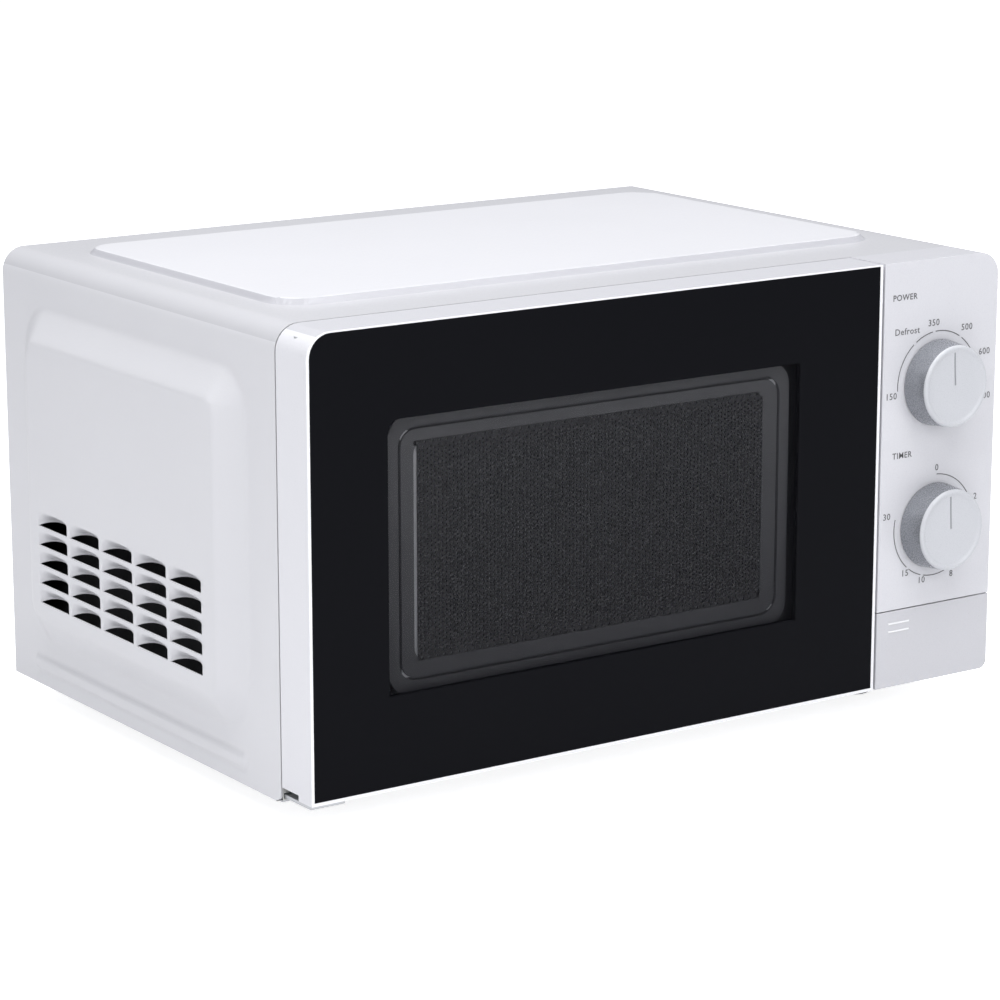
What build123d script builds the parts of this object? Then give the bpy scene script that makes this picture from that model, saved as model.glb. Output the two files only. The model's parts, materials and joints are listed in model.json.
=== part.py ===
# A two-dial microwave oven. Millimetres, +X right, +Y back, +Z up.
# The origin is on the ground, under the middle of the oven.
from build123d import *
import math
import os

os.makedirs("parts", exist_ok=True)

# ---- driving dimensions ----
front_width = 440
cabinet_height = 240
foot_height = 15
front_y = -153  # front face of the door glass and of the control panel
door_depth = 28
cabinet_front = -124
cabinet_back = 165
sheet = 1.0
corner_radius = 13

half_width = front_width / 2
cabinet_bottom = foot_height
cabinet_top = foot_height + cabinet_height
cabinet_depth = cabinet_back - cabinet_front
front_bottom = cabinet_bottom + 5.5  # lower edge of the door and of the button

# side emboss with its louvres, and the bead below it
emboss_y = (-96, 139)
emboss_z = (42, 228.3)
emboss_rise = 10
emboss_slope = 16
louvre_length = 32
louvre_height = 7
louvre_pitch_y = 36
louvre_pitch_z = 10.75
louvre_first = (-49, 68)  # middle in Y and lower edge in Z of the lowest front louvre

# shallow raised plate on the top
top_plate = (384, 218)
top_plate_y = 22
top_plate_rise = 3

# cooking cavity, inside faces
cavity_x = (-205, 105)
cavity_y = (cabinet_front + sheet, 157)
cavity_z = (34, 236)
turntable_x = (cavity_x[0] + cavity_x[1]) / 2
turntable_y = 16.5

# roller ring and glass plate
roller_radius = 8
roller_track = 90
roller_width = 7
roller_gap = 0.3
roller_z = cavity_z[0] + roller_radius + roller_gap
plate_radius = 122.5
plate_z = roller_z + roller_radius + roller_gap

# door
door_x = (-half_width, 137.8)
door_y = (front_y, front_y + door_depth)
door_z = (front_bottom, cabinet_top)
glass_x = (-218.4, 136)
glass_z = (22.2, 254.1)
glass_thickness = 3.2
screen_x = (-164.8, 71.9)
screen_z = (74, 201.5)
screen_y = -148
hinge_x = -214
hinge_y = -138
hinge_pin_radius = 3
hinge_arm_x = (-199, -192)  # far enough from the pin to pass behind the door's side wall
hinge_arm_z = (244, 246)
hinge_arm_room = 24
fit_gap = 0.05
hook_x = 114
hook_z = (78, 208)  # undersides of the two latch hooks

# control panel
panel_x = (139.4, half_width)
panel_z = (63.9, cabinet_top)
panel_wall = 2.5
dial_x = 178
power_z = 187.2
timer_z = 108
dial_centres = ((dial_x, power_z), (dial_x, timer_z))
dial_radius = 23.7
dial_height = 16
shaft_radius = 3
button_z = (front_bottom, 63.3)
button_travel = 5
bay_front = front_y + 2.5 + button_travel + 0.3
stem_x = 158
spring_x = 205
stem_z = 42

pieces = {}


def block(x, y, z, mode=Mode.ADD):
    """Add or cut a box given by its spans along X, Y and Z."""
    with Locations(((x[0] + x[1]) / 2, (y[0] + y[1]) / 2, (z[0] + z[1]) / 2)):
        Box(x[1] - x[0], y[1] - y[0], z[1] - z[0], mode=mode)


def rod(centre, radius, length, turn=(0, 0, 0), mode=Mode.ADD):
    """Add or cut a cylinder about its middle; turn (90, 0, 0) lays it along Y."""
    with Locations(centre):
        Cylinder(radius, length, rotation=turn, mode=mode)


def middle(span):
    return (span[0] + span[1]) / 2


def length_of(span):
    return span[1] - span[0]


along_x = (0, 90, 0)
along_y = (90, 0, 0)

# ---- cabinet ----
left_face = Plane((-half_width, 0, 0), x_dir=(0, -1, 0), z_dir=(-1, 0, 0))
emboss_centre = (-middle(emboss_y), middle(emboss_z))
emboss_size = (length_of(emboss_y), length_of(emboss_z))


def emboss(size, offset, slope):
    """A rounded plateau on the left side, from offset out to offset + the rise."""
    with BuildPart() as plateau:
        with BuildSketch(left_face.offset(offset)):
            with Locations(emboss_centre):
                RectangleRounded(size[0], size[1], 25)
        with BuildSketch(left_face.offset(offset + emboss_rise)):
            with Locations(emboss_centre):
                RectangleRounded(size[0] - 2 * slope, size[1] - 2 * slope, 15)
        loft()
    return plateau.part


def louvre_wedge(length, height, depth):
    """A wedge behind the raised face, deepest at its flat lower edge."""
    with BuildPart() as wedge:
        with BuildSketch(Plane.XZ.offset(-length / 2)):
            with BuildLine():
                Polyline((-1, 0), (-1, height), (0, height), (depth, 0), close=True)
            make_face()
        extrude(amount=length)
    return wedge.part


louvre_places = [
    (-half_width - emboss_rise, louvre_first[0] + louvre_pitch_y * column,
     louvre_first[1] + louvre_pitch_z * row)
    for column in range(5) for row in range(5)
]
raised_face = emboss(emboss_size, 0, emboss_slope)
raised_hollow = emboss((emboss_size[0] - 2, emboss_size[1] - 2), -sheet, emboss_slope)
scoop = louvre_wedge(louvre_length + 2, louvre_height + 1.5, 5.5)
scoop_hollow = louvre_wedge(louvre_length, louvre_height, 4.5)

with BuildPart() as outer_cover:
    with BuildSketch(Plane.XZ.offset(-cabinet_back)) as left_half:
        with Locations((-half_width / 2, middle((cabinet_bottom, cabinet_top)))):
            Rectangle(half_width, cabinet_height)
        fillet(left_half.vertices().group_by(Axis.X)[0].sort_by(Axis.Y)[-1], corner_radius)
    extrude(amount=cabinet_depth)
    with BuildSketch(Plane.XZ.offset(-cabinet_back)) as left_hollow:
        with Locations(((sheet - half_width) / 2, middle((cabinet_bottom, cabinet_top)) - sheet)):
            Rectangle(half_width - sheet, cabinet_height)
        fillet(left_hollow.vertices().group_by(Axis.X)[0].sort_by(Axis.Y)[-1], corner_radius - sheet)
    extrude(amount=cabinet_depth, mode=Mode.SUBTRACT)
    add(raised_face)
    add(raised_hollow, mode=Mode.SUBTRACT)
    with BuildSketch(left_face):
        with Locations((-24, cabinet_bottom + 12.5)):
            SlotOverall(234, 11)
    extrude(amount=1.5)
    with Locations(*louvre_places):
        add(scoop)
    block((-half_width - emboss_rise - 1, -half_width - emboss_rise), emboss_y, emboss_z, Mode.SUBTRACT)
    with Locations(*louvre_places):
        add(scoop_hollow, mode=Mode.SUBTRACT)
    low_front = outer_cover.edges().filter_by(Axis.X).group_by(Axis.Z)[0].sort_by(Axis.Y)[0]
    chamfer(low_front, 5)
    mirror(about=Plane.YZ)
    for shrink, level, mode in ((0, 0, Mode.ADD), (2, -sheet, Mode.SUBTRACT)):
        for rise, inset in ((0, 0), (top_plate_rise, 4)):
            with BuildSketch(Plane.XY.offset(cabinet_top + level + rise)):
                with Locations((0, top_plate_y)):
                    RectangleRounded(top_plate[0] - shrink - 2 * inset,
                                     top_plate[1] - shrink - 2 * inset, 20 - inset)
        loft(mode=mode)
pieces["outer_cover"] = outer_cover

inner_x = (-half_width + sheet + 0.2, half_width - sheet - 0.2)
feet_places = [(x, y) for x in (-175, 175) for y in (-90, 130)]

with BuildPart() as base_plate:
    block(inner_x, (cabinet_front + sheet + 0.2, cabinet_back - 1.4),
          (cabinet_bottom, cabinet_bottom + sheet))
    for side in (-1, 1):
        edge = side * inner_x[1]
        flange = sorted((edge, edge - side * sheet))
        block(flange, (-115, 160), (cabinet_bottom, cabinet_bottom + 14))
    with Locations(*[(165, y, cabinet_bottom) for y in range(-40, 101, 14)]):
        Box(70, 5, 3, mode=Mode.SUBTRACT)
    with Locations(*[(x, y, cabinet_bottom) for x, y in feet_places]):
        Cylinder(2.2, 4, mode=Mode.SUBTRACT)
pieces["base_plate"] = base_plate

with BuildPart() as feet:
    for x, y in feet_places:
        with BuildSketch():
            with Locations((x, y)):
                Circle(12)
        with BuildSketch(Plane.XY.offset(foot_height)):
            with Locations((x, y)):
                Circle(14)
        loft()
        rod((x, y, 3), 5, 6, mode=Mode.SUBTRACT)
        rod((x, y, foot_height / 2), 2.2, foot_height, mode=Mode.SUBTRACT)
pieces["feet"] = feet

with BuildPart() as foot_screws:
    for x, y in feet_places:
        rod((x, y, cabinet_bottom + sheet + 1), 4, 2)
        rod((x, y, cabinet_bottom), 2, 2 + 2 * sheet)
    for x, y in feet_places:
        rod((x, y, cabinet_bottom + sheet + 2), 1.2, 1.6, mode=Mode.SUBTRACT)
pieces["foot_screws"] = foot_screws

rear_y = (cabinet_back - 1.2, cabinet_back - 0.2)
fan_centre = (162, 105)
gland_place = (195, 45)

with BuildPart() as rear_panel:
    block(inner_x, rear_y, (cabinet_bottom + sheet + 0.2, cabinet_top - sheet - 0.2))
    top_corners = rear_panel.edges().filter_by(Axis.Y).group_by(Axis.Z)[-1]
    fillet(top_corners, corner_radius - sheet)
    for ring in range(1, 5):
        places = PolarLocations(9 * ring, 6 * ring)
        with Locations(*[(fan_centre[0] + p.position.X, rear_y[0], fan_centre[1] + p.position.Y)
                         for p in places]):
            Cylinder(2, 6, rotation=along_y, mode=Mode.SUBTRACT)
    with Locations(*[(x, rear_y[0], z) for x in (-150, -90) for z in range(60, 211, 10)]):
        Box(40, 6, 3.5, mode=Mode.SUBTRACT)
    rod((gland_place[0], rear_y[0], gland_place[1]), 7, 6, along_y, Mode.SUBTRACT)
pieces["rear_panel"] = rear_panel

with BuildPart() as cord_gland:
    rod((gland_place[0], cabinet_back - 3, gland_place[1]), 6.9, 8, along_y)
    rod((gland_place[0], cabinet_back + 1.9, gland_place[1]), 9.5, 4.2, along_y)
    rod((gland_place[0], cabinet_back - 2.4, gland_place[1]), 9, 2.2, along_y)
    rod((gland_place[0], cabinet_back, gland_place[1]), 3.6, 20, along_y, Mode.SUBTRACT)
pieces["cord_gland"] = cord_gland

cover_screw_places = [(x, z) for x in (-212, 212) for z in (30, 140)] + [(-60, 247), (60, 247)]
with BuildPart() as cover_screws:
    for x, z in cover_screw_places:
        rod((x, cabinet_back + 0.8, z), 3.8, 2, along_y)
        rod((x, cabinet_back + 1.6, z), 1.4, 1, along_y, Mode.SUBTRACT)
pieces["cover_screws"] = cover_screws

with BuildPart() as front_plate:
    block(inner_x, (cabinet_front, cabinet_front + sheet),
          (cabinet_bottom + sheet + 0.2, cabinet_top - sheet - 0.2))
    fillet(front_plate.edges().filter_by(Axis.Y).group_by(Axis.Z)[-1], corner_radius - sheet)
    front_cut = (cabinet_front - 1, cabinet_front + sheet + 1)
    block(cavity_x, front_cut, cavity_z, Mode.SUBTRACT)
    block((142, 214), front_cut, (28, 236), Mode.SUBTRACT)
    for z in hook_z:
        block((hook_x - 6, hook_x + 8), front_cut, (z - 8, z + 24), Mode.SUBTRACT)
    block((-218.2, -197.5), front_cut, (17, 19.8), Mode.SUBTRACT)
    block((hinge_arm_x[0] - 2, hinge_arm_x[1] + 2), front_cut, (243.6, 246.4), Mode.SUBTRACT)
pieces["front_plate"] = front_plate

# ---- cooking cavity ----
wall_x = (cavity_x[0] - sheet, cavity_x[1] + sheet)
wall_z = (cavity_z[0] - sheet, cavity_z[1] + sheet)
guide_z = (165, 215)
guide_y = (10, 90)

with BuildPart() as cavity:
    block(wall_x, (cavity_y[0], cavity_y[1] + sheet), wall_z)
    block(cavity_x, (cavity_y[0] - 1, cavity_y[1]), cavity_z, Mode.SUBTRACT)
    rod((turntable_x, turntable_y, cavity_z[0]), 5, 6, mode=Mode.SUBTRACT)
    block((cavity_x[1] - 1, wall_x[1] + 1), (guide_y[0] + 8, guide_y[1] - 8),
          (guide_z[0] + 6, guide_z[1] - 6), Mode.SUBTRACT)
    with Locations(*[(cavity_x[1], -70 + 5 * column, 190 + 5 * row)
                     for column in range(9) for row in range(5)]):
        Cylinder(1.4, 6, rotation=along_x, mode=Mode.SUBTRACT)
    with Locations(*[(cavity_x[0], -70 + 6 * column, 185 + 6 * row)
                     for column in range(11) for row in range(5)]):
        Cylinder(1.6, 6, rotation=along_x, mode=Mode.SUBTRACT)
pieces["cavity"] = cavity

with BuildPart() as waveguide_cover:
    block((cavity_x[1] - 0.8, cavity_x[1]), (guide_y[0] + 3, guide_y[1] - 3),
          (guide_z[0] + 1, guide_z[1] - 1))
pieces["waveguide_cover"] = waveguide_cover

with BuildPart() as turntable_motor:
    rod((turntable_x, turntable_y, 25.5), 24, 14.6)
    block((turntable_x - 32, turntable_x + 32), (turntable_y - 6, turntable_y + 6), (31.4, 32.8))
    rod((turntable_x, turntable_y, 31), 3.05, 9, mode=Mode.SUBTRACT)
pieces["turntable_motor"] = turntable_motor

with BuildPart() as turntable_hub:
    rod((turntable_x, turntable_y, 39.5), shaft_radius, 18)
    with BuildSketch(Plane.XY.offset(43)):
        with Locations((turntable_x, turntable_y)):
            Circle(8)
            with PolarLocations(9, 3):
                Circle(4.5)
    extrude(amount=6.5)
pieces["turntable_hub"] = turntable_hub

with BuildPart() as glass_turntable:
    with BuildSketch(Plane((turntable_x, turntable_y, 0), x_dir=(1, 0, 0), z_dir=(0, -1, 0))):
        with BuildLine():
            Polyline((0, plate_z), (112, plate_z), (plate_radius, plate_z + 7.5),
                     (plate_radius, plate_z + 9), (plate_radius - 3.5, plate_z + 9),
                     (110.5, plate_z + 4.5), (0, plate_z + 4.5), close=True)
        make_face()
    revolve(axis=Axis((turntable_x, turntable_y, 0), (0, 0, 1)))
    with BuildSketch(Plane.XY.offset(plate_z - 3.5)):
        with Locations((turntable_x, turntable_y)):
            with PolarLocations(18, 3, start_angle=60):
                Rectangle(5, 11)
    extrude(amount=3.6)
pieces["glass_turntable"] = glass_turntable

with BuildPart() as roller_ring:
    with BuildSketch(Plane.XY.offset(roller_z - 3)):
        with Locations((turntable_x, turntable_y)):
            Circle(roller_track - 5)
            Circle(roller_track - 10, mode=Mode.SUBTRACT)
    extrude(amount=6)
    with Locations((turntable_x, turntable_y, roller_z)):
        with PolarLocations(roller_track, 3):
            Cylinder(2, 14, rotation=along_x)
            with Locations((6.2, 0, 0)):
                Cylinder(3.2, 1.6, rotation=along_x)
pieces["roller_ring"] = roller_ring

for number in range(3):
    angle = math.radians(120 * number)
    outward = (math.cos(angle), math.sin(angle), 0)
    hub_plane = Plane((turntable_x + (roller_track - roller_width / 2) * outward[0],
                       turntable_y + (roller_track - roller_width / 2) * outward[1], roller_z),
                      x_dir=(0, 0, 1), z_dir=outward)
    with BuildPart() as roller:
        with BuildSketch(hub_plane):
            Circle(roller_radius)
            Circle(2 + fit_gap, mode=Mode.SUBTRACT)
        extrude(amount=roller_width)
    pieces[f"roller_{number + 1}"] = roller

# ---- door ----
pocket_back = front_y + glass_thickness

with BuildPart() as door_frame:
    with BuildSketch(Plane.XZ.offset(-door_y[1])) as outline:
        with Locations((middle(door_x), middle(door_z))):
            Rectangle(length_of(door_x), length_of(door_z))
        fillet(outline.vertices().group_by(Axis.Y)[-1].sort_by(Axis.X)[0], corner_radius)
    extrude(amount=door_depth)
    fillet(door_frame.edges().filter_by(Axis.Z).group_by(Axis.Y)[-1].sort_by(Axis.X)[0], 4)
    with BuildSketch(Plane.XZ.offset(-pocket_back)) as pocket:
        with Locations((middle(glass_x), middle(glass_z))):
            Rectangle(length_of(glass_x), length_of(glass_z))
        fillet(pocket.vertices().group_by(Axis.Y)[-1].sort_by(Axis.X)[0], corner_radius - 1.6)
    extrude(amount=glass_thickness + 1, mode=Mode.SUBTRACT)
    block((-202, 120), (pocket_back - 1, -130), (38, 238), Mode.SUBTRACT)
    block((-204, door_x[1] - 2), (pocket_back + 2, door_y[1] + 1), (24, 253), Mode.SUBTRACT)
    block((door_x[0] - 1, -197), (-140.5, door_y[1] + 1), (door_z[0] - 1, 23.5), Mode.SUBTRACT)
    rod((hinge_x, hinge_y, 27), hinge_pin_radius + fit_gap, 16, mode=Mode.SUBTRACT)
    rod((hinge_x, hinge_y, middle(hinge_arm_z)), hinge_pin_radius + fit_gap, 14, mode=Mode.SUBTRACT)
    with BuildSketch(Plane.XY.offset(hinge_arm_z[0] - 0.7)):
        with Locations((hinge_x, hinge_y)):
            Circle(hinge_arm_room)
        with Locations((glass_x[0] - hinge_arm_room, hinge_y)):
            Rectangle(2 * hinge_arm_room, 2 * hinge_arm_room, mode=Mode.SUBTRACT)
    extrude(amount=length_of(hinge_arm_z) + 1.4, mode=Mode.SUBTRACT)
pieces["door_frame"] = door_frame

with BuildPart() as door_glass:
    with BuildSketch(Plane.XZ.offset(-pocket_back)) as pane:
        with Locations((middle(glass_x), middle(glass_z))):
            Rectangle(length_of(glass_x), length_of(glass_z))
        fillet(pane.vertices().group_by(Axis.Y)[-1].sort_by(Axis.X)[0], corner_radius - 1.6)
    extrude(amount=glass_thickness)
pieces["door_glass"] = door_glass

flange_y = (-137, -136)
with BuildPart() as door_screen:
    block((-200, 104), flange_y, (40, 236))
    block(screen_x, (screen_y, flange_y[1]), screen_z)
    fillet(door_screen.edges().filter_by(Axis.Y).group_by(Axis.X)[1:-1], 2.5)
    block((screen_x[0] + sheet, screen_x[1] - sheet), (screen_y + sheet, flange_y[1] + 1),
          (screen_z[0] + sheet, screen_z[1] - sheet), Mode.SUBTRACT)
pieces["door_screen"] = door_screen

with BuildPart() as inner_window:
    block((screen_x[0] + 1.4, screen_x[1] - 1.4), (screen_y + sheet, screen_y + 2 * sheet),
          (screen_z[0] + 1.4, screen_z[1] - 1.4))
pieces["inner_window"] = inner_window

cover_back = door_y[1] - 0.2
with BuildPart() as choke_cover:
    block((-203.8, 104), (flange_y[1], cover_back), (24.2, 240))
    block((104, door_x[1] - 2.2), (cover_back - 2, cover_back), (24.2, 240))
    block((-201.8, 102), (flange_y[1] - 1, cover_back - 2), (26.2, 238), Mode.SUBTRACT)
    block((-171, 78), (flange_y[1], cover_back), (68, 207))
    block((-163, 70), (flange_y[1], cover_back + 1), (76, 199), Mode.SUBTRACT)
    for z in hook_z:
        block((hook_x - 4, hook_x + 4), (cover_back - 3, cover_back + 1), (z - 4, z + 18),
              Mode.SUBTRACT)
pieces["choke_cover"] = choke_cover

hook_tip = -101
hook_width = (hook_x - 2.5, hook_x + 2.5)
slide_y = (-142, -134)
with BuildPart() as door_latch:
    block((hook_x - 3, hook_x + 3), slide_y, (hook_z[0] - 12, hook_z[1] + 16))
    for z in hook_z:
        block(hook_width, (slide_y[1], hook_tip), (z + 3, z + 12))
        block(hook_width, (hook_tip - 5, hook_tip), (z, z + 3))
pieces["door_latch"] = door_latch

with BuildPart() as latch_guides:
    for z in (hook_z[0] + 25, hook_z[1] - 25):
        block((hook_x - 7, hook_x + 7), (slide_y[0] - 2, -127.2), (z, z + 6))
        block((hook_x - 3.3, hook_x + 3.3), (slide_y[0] - 0.3, slide_y[1] + 0.3), (z - 1, z + 7),
              Mode.SUBTRACT)
pieces["latch_guides"] = latch_guides


def coil(start, direction, radius, wire, pitch, height):
    """A helical spring from start along direction."""
    with BuildPart() as spring:
        with BuildLine() as path:
            Helix(pitch, height, radius, center=start, direction=direction)
        with BuildSketch(Plane(path.line @ 0, z_dir=path.line % 0)):
            Circle(wire)
        sweep(is_frenet=True)
    return spring


pieces["latch_spring"] = coil((hook_x, hinge_y, hook_z[1] + 17), (0, 0, 1), 2.4, 0.4, 2.2, 18)

leaf_y = (cabinet_front + sheet, cabinet_front + 2.4)
with BuildPart() as lower_hinge:
    block((-218, -198), (-148.4, leaf_y[1]), (17.4, 19.4))
    block((-218, -210), (-148.4, -141.4), (17.4, 20.1))
    block((-218, -207), leaf_y, (17.4, 60))
    rod((hinge_x, hinge_y, 25.5), hinge_pin_radius, 14)
pieces["lower_hinge"] = lower_hinge

with BuildPart() as upper_hinge:
    block((hinge_x - 3, hinge_arm_x[1]), (hinge_y - 3, hinge_y + 1.5), hinge_arm_z)
    block(hinge_arm_x, (hinge_y - 3, leaf_y[1]), hinge_arm_z)
    block((-216, hinge_arm_x[1]), leaf_y, (241, 250))
    rod((hinge_x, hinge_y, middle(hinge_arm_z)), hinge_pin_radius, 12)
pieces["upper_hinge"] = upper_hinge

with BuildPart() as hinge_screws:
    for place in ((-212.5, 30), (-212.5, 50), (-210, 247.5)):
        rod((place[0], cabinet_front + 3.4, place[1]), 2.4, 2, along_y)
pieces["hinge_screws"] = hinge_screws

# ---- controls ----
plate_y = (-127, cabinet_front)
with BuildPart() as control_panel:
    with BuildSketch(Plane.XZ.offset(-plate_y[1])) as fascia:
        with Locations((middle(panel_x), middle(panel_z))):
            Rectangle(length_of(panel_x), length_of(panel_z))
        fillet(fascia.vertices().group_by(Axis.Y)[-1].sort_by(Axis.X)[-1], corner_radius)
    extrude(amount=plate_y[1] - front_y)
    block((panel_x[0] + panel_wall, panel_x[1] - panel_wall), (front_y + panel_wall, plate_y[0]),
          (panel_z[0] + panel_wall, panel_z[1] - panel_wall - 9), Mode.SUBTRACT)
    with BuildSketch(Plane.XZ.offset(-plate_y[1])) as button_bay:
        with Locations((middle(panel_x), middle((button_z[0], panel_z[0])))):
            Rectangle(length_of(panel_x), panel_z[0] - button_z[0])
        fillet(button_bay.vertices().group_by(Axis.Y)[0].sort_by(Axis.X)[-1], 5)
    extrude(amount=plate_y[1] - bay_front)
    block((panel_x[0] + 2, panel_x[1] - 2), (bay_front - 1, plate_y[0]),
          (button_z[0] + 2, panel_z[0]), Mode.SUBTRACT)
    for x, z in dial_centres:
        rod((x, middle((front_y, plate_y[1])), z), shaft_radius + 1, 40, along_y, Mode.SUBTRACT)
    rod((stem_x, plate_y[0], stem_z), 4.1, 10, along_y, Mode.SUBTRACT)
    rod((spring_x, plate_y[0], stem_z), 4.1, 10, along_y, Mode.SUBTRACT)
pieces["control_panel"] = control_panel

dial_bottom = front_y - 0.5
for name, z in (("power_knob", power_z), ("timer_knob", timer_z)):
    with BuildPart() as knob:
        with BuildSketch(Plane((dial_x, dial_bottom, z), x_dir=(1, 0, 0), z_dir=(0, -1, 0))):
            Circle(dial_radius)
        extrude(amount=dial_height - 0.5, taper=5.4)
        fillet(knob.faces().sort_by(Axis.Y)[0].edges(), 1.6)
        rod((dial_x, dial_bottom, z), dial_radius - 3, 22, along_y, Mode.SUBTRACT)
        rod((dial_x, dial_bottom - 5.5, z), 6, 11, along_y)
        rod((dial_x, dial_bottom, z), shaft_radius, 20, along_y, Mode.SUBTRACT)
        block((dial_x - 0.6, dial_x + 0.6), (front_y - dial_height - 1, front_y - dial_height + 0.8),
              (z + 2, z + dial_radius - 3), Mode.SUBTRACT)
    pieces[name] = knob

for name, z in (("power_shaft", power_z), ("timer_shaft", timer_z)):
    with BuildPart() as shaft:
        rod((dial_x, -142, z), shaft_radius, 43, along_y)
        block((dial_x + 2, dial_x + 4), (-164, -153.5), (z - 4, z + 4), Mode.SUBTRACT)
    pieces[name] = shaft

for name, z in (("power_switch", power_z), ("timer_unit", timer_z)):
    with BuildPart() as unit:
        block((dial_x - 22, dial_x + 22), (cabinet_front, -94), (z - 22, z + 22))
        fillet(unit.edges().filter_by(Axis.Y), 4)
        rod((dial_x, -122, z), shaft_radius + fit_gap, 8, along_y, Mode.SUBTRACT)
        with Locations(*[(dial_x + step, -90, z - 12) for step in (-12, 0, 12)]):
            Box(6, 8, 0.8)
    pieces[name] = unit

button_face_back = front_y + 2.5
skirt_x = (panel_x[0] + 2.4, panel_x[1] - 2.4)
skirt_z = (button_z[0] + 2.4, button_z[1] - 2.4)
with BuildPart() as release_button:
    with BuildSketch(Plane.XZ.offset(-button_face_back)) as face:
        with Locations((middle(panel_x), middle(button_z))):
            Rectangle(length_of(panel_x), length_of(button_z))
        fillet(face.vertices().group_by(Axis.Y)[0].sort_by(Axis.X)[-1], 5)
    extrude(amount=button_face_back - front_y)
    block(skirt_x, (button_face_back, -138), skirt_z)
    block((skirt_x[0] + 1.6, skirt_x[1] - 1.6), (button_face_back, -137),
          (skirt_z[0] + 1.6, skirt_z[1] - 1.6), Mode.SUBTRACT)
    for z in (51.8, 56.3):
        block((147.5, 162.2), (front_y - 0.4, front_y), (z - 0.4, z + 0.4))
    rod((stem_x, -134.5, stem_z), 4, 32, along_y)
    rod((spring_x, -136, stem_z), 4, 29, along_y)
pieces["release_button"] = release_button
pieces["button_spring"] = coil((spring_x, -149.9, stem_z), (0, 1, 0), 5.6, 0.5, 2.9, 22.3)

lever_y = -113
lever_z = 58
with BuildPart() as interlock_bracket:
    block((122, 125), (cabinet_front + sheet, -96), (50, 232))
    for z in hook_z:
        block((108, 122), (-99, -96), (z - 8, z + 24))
    rod((134, lever_y, lever_z), 2.5, 20, along_x)
pieces["interlock_bracket"] = interlock_bracket

with BuildPart() as release_lever:
    rod((134, lever_y, lever_z), 5.5, 14, along_x)
    block((128, 141), (lever_y - 2.5, lever_y + 2.5), (37, lever_z))
    block((141, 163), (lever_y - 2.5, lever_y + 2.5), (37, 47))
    block((127.2, 131), (lever_y, lever_y + 22), (lever_z - 2.5, lever_z + 2.5))
    rod((134, lever_y, lever_z), 2.5 + fit_gap, 30, along_x, Mode.SUBTRACT)
pieces["release_lever"] = release_lever

with BuildPart() as door_switches:
    for z in (88, 140, 218):
        block((125.2, 135), (-118, -98), (z - 6, z + 6))
        block((127, 133), (-120, -118), (z + 2, z + 5))
pieces["door_switches"] = door_switches

# ---- power and cooling ----
guide_end = 136
antenna_y = 70
antenna_z = 190
with BuildPart() as waveguide:
    block((wall_x[1], guide_end), guide_y, guide_z)
    block((wall_x[1] - sheet, guide_end - sheet), (guide_y[0] + sheet, guide_y[1] - sheet),
          (guide_z[0] + sheet, guide_z[1] - sheet), Mode.SUBTRACT)
    rod((guide_end, antenna_y, antenna_z), 9.5, 6, along_x, Mode.SUBTRACT)
pieces["waveguide"] = waveguide

with BuildPart() as magnetron_body:
    block((136.2, 205), (30, 110), (152, 228))
    block((138, 203), (20, 120), (154, 226), Mode.SUBTRACT)
    block((155, 190), (45, 95), (228, 246))
pieces["magnetron_body"] = magnetron_body

with BuildPart() as magnetron_fins:
    rod((170.5, antenna_y, antenna_z), 16, 60, along_x)
    for step in range(8):
        block((149 + 6 * step, 149.8 + 6 * step), (36, 104), (158, 222))
pieces["magnetron_fins"] = magnetron_fins

with BuildPart() as magnetron_antenna:
    rod((128.5, antenna_y, antenna_z), 8.5, 15, along_x)
pieces["magnetron_antenna"] = magnetron_antenna

with BuildPart() as transformer_core:
    block((124, 204), (30, 100), (17, 85))
    for y in ((42, 58), (72, 88)):
        block((120, 210), y, (31, 71), Mode.SUBTRACT)
    block((120, 208), (26, 104), (cabinet_bottom + sheet, 17))
pieces["transformer_core"] = transformer_core

with BuildPart() as transformer_windings:
    for y in ((42.4, 57.6), (72.4, 87.6)):
        block((116, 212), y, (31.4, 70.6))
pieces["transformer_windings"] = transformer_windings

capacitor_place = (140, -44, 44)
with BuildPart() as hv_capacitor:
    rod(capacitor_place, 25, 84, along_y)
    for x in (-10, 10):
        block((capacitor_place[0] + x - 3, capacitor_place[0] + x + 3), (-3, 6),
              (capacitor_place[2] - 0.4, capacitor_place[2] + 0.4))
pieces["hv_capacitor"] = hv_capacitor

with BuildPart() as capacitor_strap:
    rod(capacitor_place, 26.2, 12, along_y)
    block((capacitor_place[0] + 10, capacitor_place[0] + 44),
          (capacitor_place[1] - 6, capacitor_place[1] + 6), (16, 17.4))
    rod(capacitor_place, 25, 14, along_y, Mode.SUBTRACT)
pieces["capacitor_strap"] = capacitor_strap

diode_place = (190, -30, 24)
with BuildPart() as hv_diode:
    rod(diode_place, 4, 26, along_x)
    rod(diode_place, 1, 44, along_x)
pieces["hv_diode"] = hv_diode

shroud_y = (141, 162)
blade_y = 152
with BuildPart() as fan_shroud:
    block((112, 212), shroud_y, (56, 154))
    rod((fan_centre[0], middle(shroud_y), fan_centre[1]), 44, 30, along_y, Mode.SUBTRACT)
    for angle in (0, 90):
        with Locations(Location((fan_centre[0], shroud_y[0] + 1, fan_centre[1]), (0, angle + 45, 0))):
            Box(92, 2, 6)
    rod((fan_centre[0], shroud_y[0], fan_centre[1]), 3.5, 8, along_y, Mode.SUBTRACT)
pieces["fan_shroud"] = fan_shroud

with BuildPart() as fan_motor:
    block((fan_centre[0] - 24, fan_centre[0] + 24), (112, 124), (fan_centre[1] - 26, fan_centre[1] + 26))
    rod((fan_centre[0], 131, fan_centre[1]), 14, 20, along_y)
    rod((fan_centre[0], 138, fan_centre[1]), 1.6 + fit_gap, 10, along_y, Mode.SUBTRACT)
pieces["fan_motor"] = fan_motor

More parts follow.
